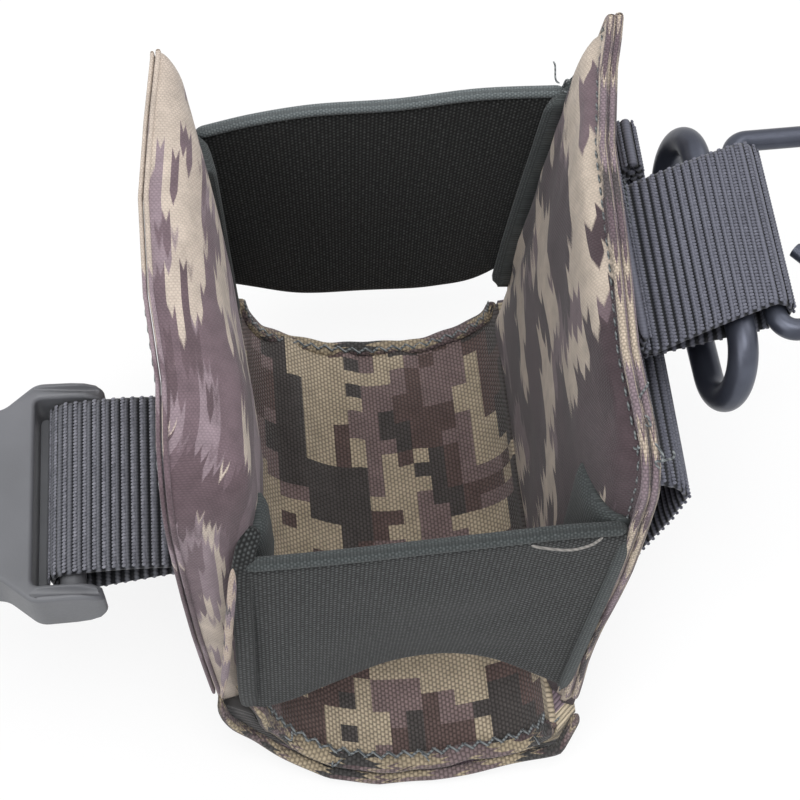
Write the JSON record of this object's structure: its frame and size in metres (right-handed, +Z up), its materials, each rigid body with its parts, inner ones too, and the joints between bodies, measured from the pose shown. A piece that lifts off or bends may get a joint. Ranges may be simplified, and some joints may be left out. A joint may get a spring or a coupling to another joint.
{
  "type": "strap-mounted gear holder pouch",
  "caption": "Open-top padded cloth cradle pouch with elastic retaining bands, belt loop, buckle half, oval ring and wire snap hook.",
  "frame": {"origin": "middle of the flat strip under the floor, on the surface that the pouch stands on", "axes": "+X from the buckle side to the ring and hook side, +Y to the back of the pouch, +Z up"},
  "size_m": [0.1774, 0.0768, 0.0744],
  "materials": {
    "camo_cloth": "matte",
    "lining_cloth": "matte",
    "foam": "matte",
    "elastic": "matte",
    "webbing": "matte",
    "thread": "matte",
    "acetal": "matte",
    "gunmetal": "satin",
    "steel": "satin"
  },
  "bodies": {
    "pouch": {"base_cover": "camo_cloth", "floor_lining": "lining_cloth", "front_hem": "lining_cloth", "back_hem": "lining_cloth", "right_inner_panel": "lining_cloth", "right_padding": "foam", "right_outer_panel": "camo_cloth", "front_elastic_band": "elastic", "back_elastic_band": "elastic", "front_band_right_tail": "elastic", "back_band_right_tail": "elastic", "belt_loop": "webbing", "belt_loop_bartacks": "thread", "right_strap_loop": "webbing", "right_strap_bartacks": "thread"},
    "left_wall": {"left_inner_panel": "lining_cloth", "left_padding": "foam", "left_outer_panel": "camo_cloth", "front_band_left_tail": "elastic", "back_band_left_tail": "elastic", "left_strap_loop": "webbing", "left_strap_bartacks": "thread"},
    "buckle": {"buckle_plug": "acetal"},
    "prong_front": {"plug_prong_front": "acetal"},
    "prong_back": {"plug_prong_back": "acetal"},
    "ring": {"oval_ring": "gunmetal"},
    "hook": {"snap_hook_body": "gunmetal", "gate_rivet": "steel", "web_keeper": "gunmetal"},
    "gate": {"snap_hook_gate": "gunmetal"}
  },
  "joints": [
    {"name": "left_wall_splay", "type": "hinge", "parent": "pouch", "child": "left_wall", "pos_m": [-0.02697, 0, 0.01596], "axis": [0, -1, 0], "range_deg": [0, 10], "stiffness_Nm_per_rad": 0.3, "deforming": ["front_elastic_band", "back_elastic_band"]},
    {"name": "buckle_swing", "type": "hinge", "parent": "left_wall", "child": "buckle", "pos_m": [-0.0439, -0.0102, 0.041], "axis": [0, 1, 0], "range_deg": [-80, 60]},
    {"name": "prong_back_squeeze", "type": "hinge", "parent": "buckle", "child": "prong_back", "pos_m": [-0.0541, -0.0016, 0.041], "axis": [0, 0, 1], "range_deg": [0, 7], "stiffness_Nm_per_rad": 0.02},
    {"name": "prong_front_squeeze", "type": "hinge", "parent": "buckle", "child": "prong_front", "pos_m": [-0.0541, -0.0188, 0.041], "axis": [0, 0, -1], "range_deg": [0, 7], "stiffness_Nm_per_rad": 0.02},
    {"name": "ring_swing", "type": "hinge", "parent": "pouch", "child": "ring", "pos_m": [0.04128, 0.00945, 0.0645], "axis": [0.0349, -0.9994, 0], "range_deg": [-10, 45]},
    {"name": "hook_swing", "type": "hinge", "parent": "pouch", "child": "hook", "pos_m": [0.04617, 0.00962, 0.0645], "axis": [-0.0349, 0.9994, 0], "range_deg": [-60, 45]},
    {"name": "gate_open", "type": "hinge", "parent": "hook", "child": "gate", "pos_m": [0.05869, -0.0048, 0.0645], "axis": [0, 0, 1], "range_deg": [0, 22], "stiffness_Nm_per_rad": 0.01, "springref_deg": -5.73}
  ],
  "couplings": [
    {"joint": "prong_front_squeeze", "follows": "prong_back_squeeze", "ratio": 1}
  ]
}
